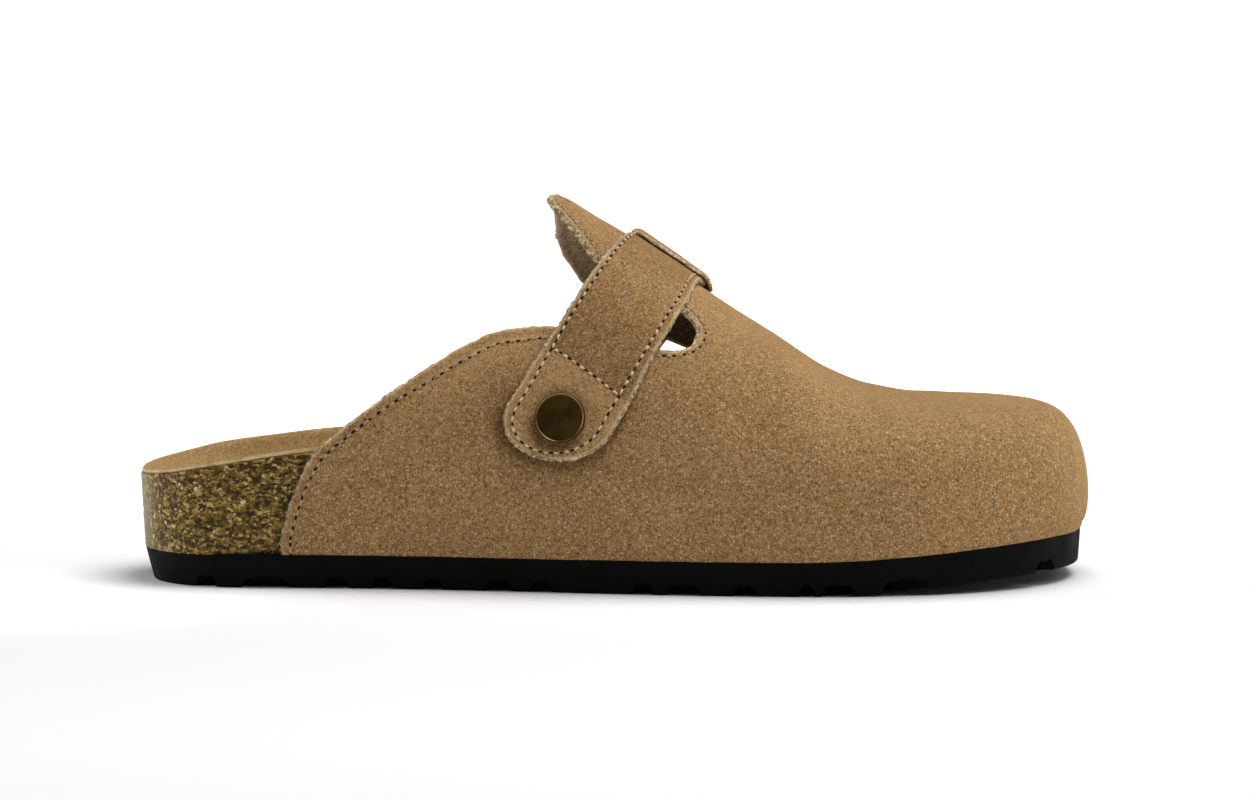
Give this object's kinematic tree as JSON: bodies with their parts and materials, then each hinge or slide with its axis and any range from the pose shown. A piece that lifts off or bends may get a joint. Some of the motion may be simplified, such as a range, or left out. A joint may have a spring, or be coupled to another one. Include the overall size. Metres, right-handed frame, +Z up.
{
  "type": "footbed sandal",
  "caption": "Closed-toe suede clog for the right foot: cork footbed with heel cup and arch, studded instep strap, notched throat, black lugged sole.",
  "frame": {"origin": "centre of the footprint's box on the floor, under the middle of the shoe", "axes": "+X from heel to toe, +Y to the medial (big toe) side, +Z up from the floor"},
  "size_m": [0.2733, 0.1087, 0.1098],
  "materials": {
    "sole_rubber": "matte black foam rubber",
    "cork": "pressed cork granules, lightly sealed",
    "liner_suede": "smooth tan suede",
    "suede": "napped taupe suede with raw edges",
    "bronze": "antique bronze with a brighter rim"
  },
  "bodies": {
    "root": {"outsole": "sole_rubber", "footbed_cork": "cork", "insole": "liner_suede", "upper": "suede", "strap_lateral": "suede", "strap_medial": "suede", "stud_lateral": "bronze", "stud_medial": "bronze"}
  },
  "joints": []
}
